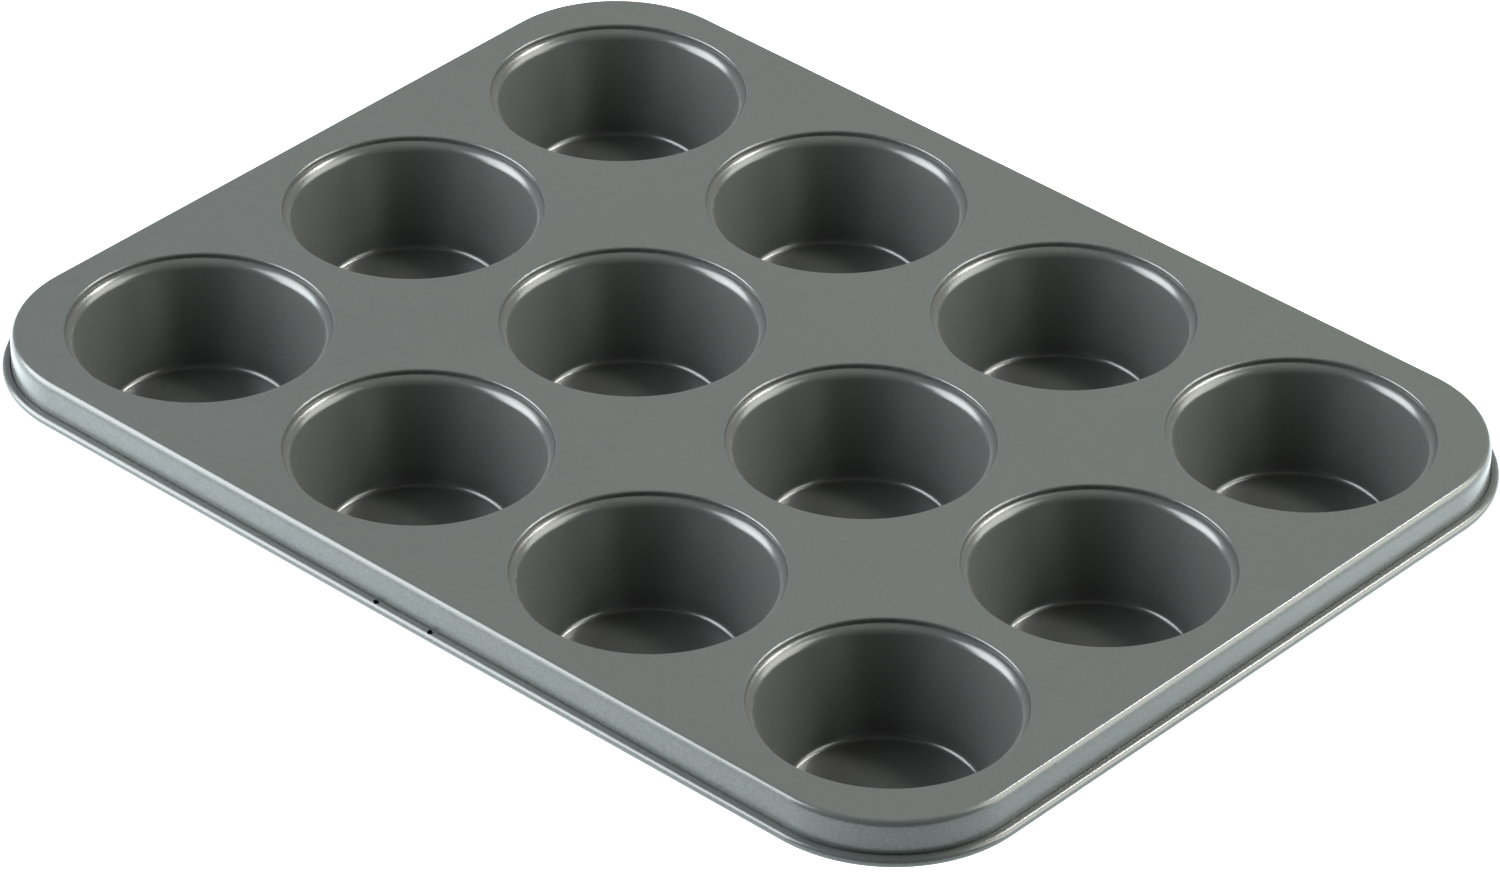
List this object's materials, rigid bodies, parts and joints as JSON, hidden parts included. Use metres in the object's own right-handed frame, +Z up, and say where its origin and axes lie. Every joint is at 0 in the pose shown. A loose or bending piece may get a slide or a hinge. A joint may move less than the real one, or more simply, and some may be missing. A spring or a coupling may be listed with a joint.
{
  "type": "muffin tin",
  "caption": "Rectangular muffin tin: a flat deck with a grid of round tapered cups crimped into collared holes, and a short skirt ending in a bead rolled round a wire.",
  "frame": {"origin": "centre of the grid of cups, on the plane the undersides of the cups stand on", "axes": "+X along the long side, along the rows of four cups; +Y along the short side, along the columns of three cups; +Z up, out of the cups' mouths. The two vent holes are in the rim's -Y side."},
  "size_m": [0.353, 0.2694, 0.0317],
  "materials": {
    "deck_coating": "satin grey non-stick coating on steel",
    "cup_coating": "satin dark grey non-stick coating on steel",
    "steel_wire": "drawn steel wire, dulled and dark"
  },
  "bodies": {
    "root": {"deck_plate": "deck_coating", "rim_wire": "steel_wire", "cup_r1c1": "cup_coating", "cup_r1c2": "cup_coating", "cup_r1c3": "cup_coating", "cup_r1c4": "cup_coating", "cup_r2c1": "cup_coating", "cup_r2c2": "cup_coating", "cup_r2c3": "cup_coating", "cup_r2c4": "cup_coating", "cup_r3c1": "cup_coating", "cup_r3c2": "cup_coating", "cup_r3c3": "cup_coating", "cup_r3c4": "cup_coating"}
  },
  "joints": []
}
